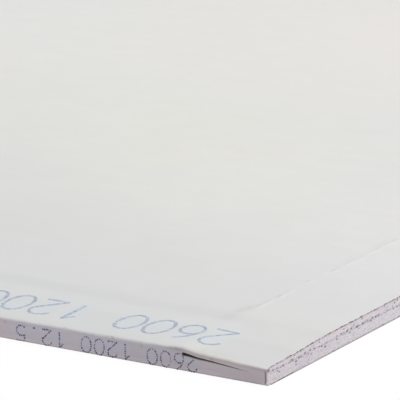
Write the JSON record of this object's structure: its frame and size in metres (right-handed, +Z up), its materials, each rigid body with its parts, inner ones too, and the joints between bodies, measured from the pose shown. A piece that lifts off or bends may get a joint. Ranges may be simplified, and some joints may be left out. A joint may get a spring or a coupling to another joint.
{
  "type": "drywall sheet",
  "caption": "Flat plasterboard sheet with tapered edges: plaster core, ivory face paper wrapped round the long edges, grey back paper, bare cut ends.",
  "frame": {"origin": "middle of the underside, on the floor that the sheet lies on", "axes": "+X along the sheet, +Y across it, +Z up out of the papered face; the pleated corner is at +X, -Y"},
  "size_m": [2.6, 1.2, 0.0125],
  "materials": {
    "gypsum": "matt cast plaster with fine pores",
    "ivory_paper": "matt ivory liner paper",
    "grey_paper": "matt grey liner paper"
  },
  "bodies": {
    "root": {"gypsum_core": "gypsum", "face_paper": "ivory_paper", "back_paper": "grey_paper"}
  },
  "joints": []
}
